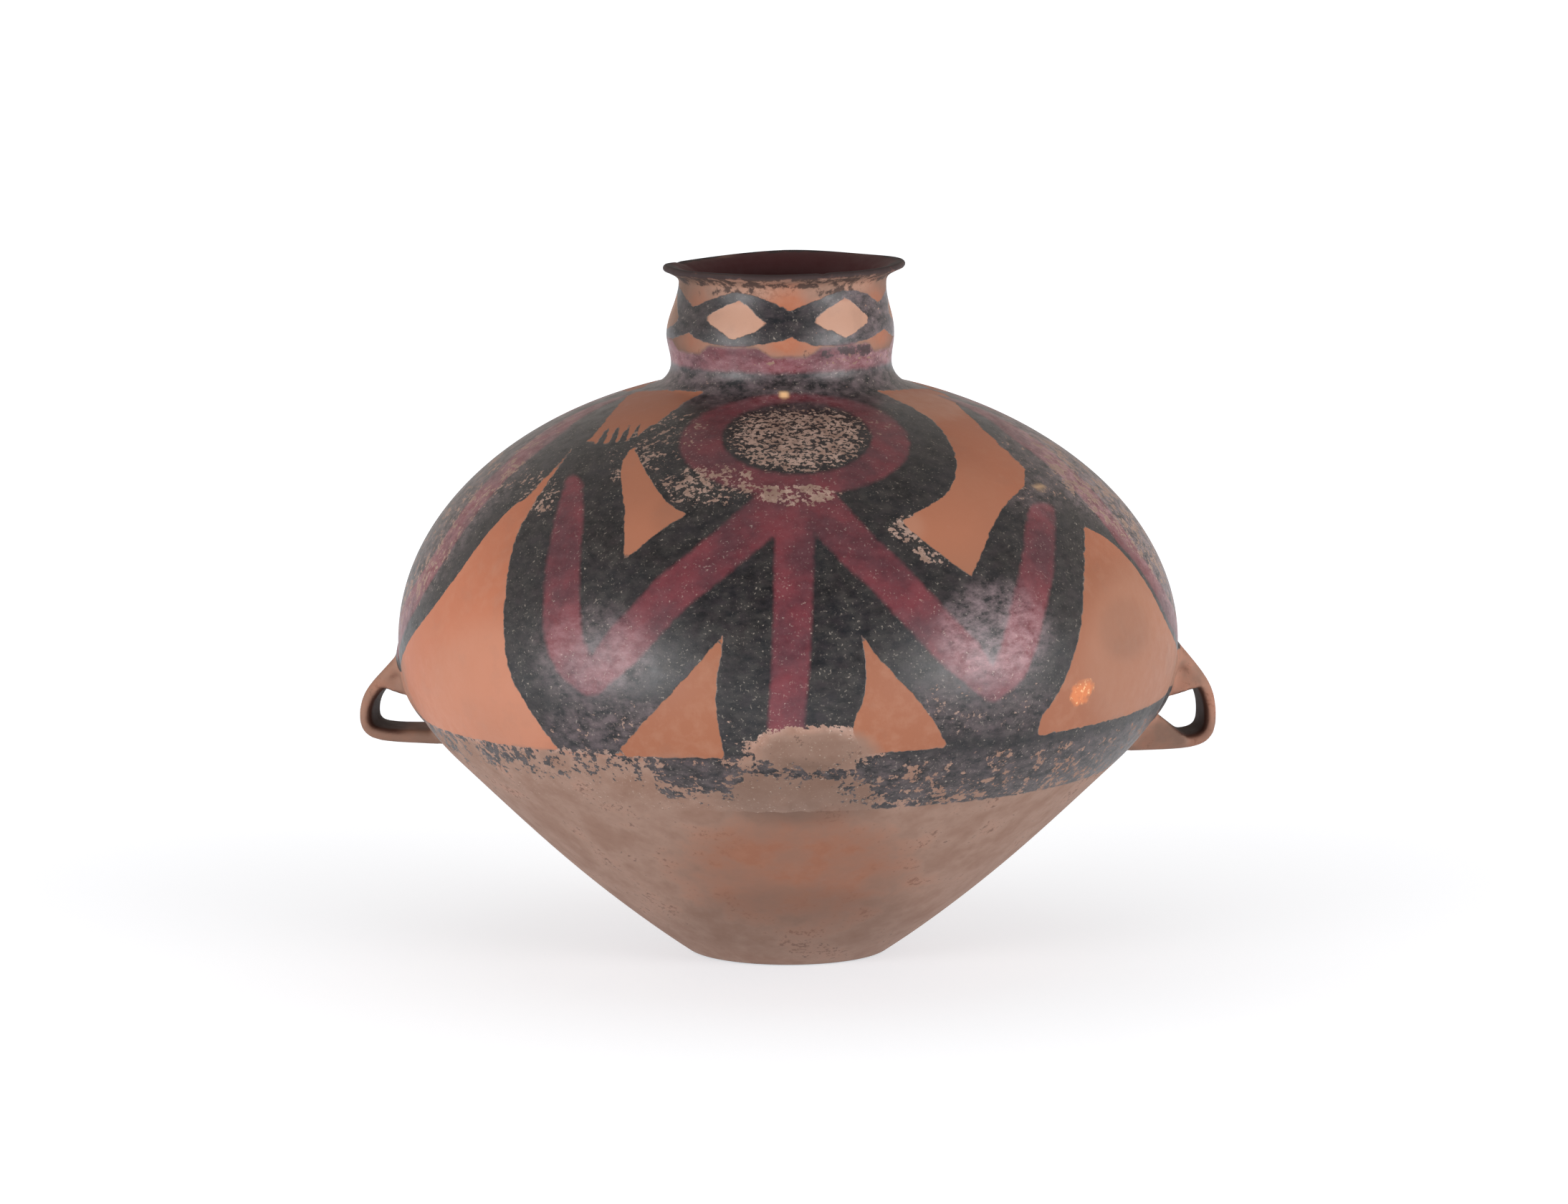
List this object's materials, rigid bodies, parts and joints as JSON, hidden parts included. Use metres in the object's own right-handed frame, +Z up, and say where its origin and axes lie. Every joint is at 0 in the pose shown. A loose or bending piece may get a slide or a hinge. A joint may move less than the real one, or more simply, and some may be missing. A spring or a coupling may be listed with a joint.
{
  "type": "painted pottery storage jar",
  "caption": "Round-shouldered hand-built pottery jar with a tapered foot, a short collared neck, two strap handles at the belly and a painted front.",
  "frame": {"origin": "centre of the flat underside", "axes": "+Z up the jar, +X through the right-hand handle, -Y out of the painted front"},
  "size_m": [0.4422, 0.4004, 0.3577],
  "materials": {
    "painted_earthenware": "burnished, worn"
  },
  "bodies": {
    "root": {"jar": "painted_earthenware"}
  },
  "joints": []
}
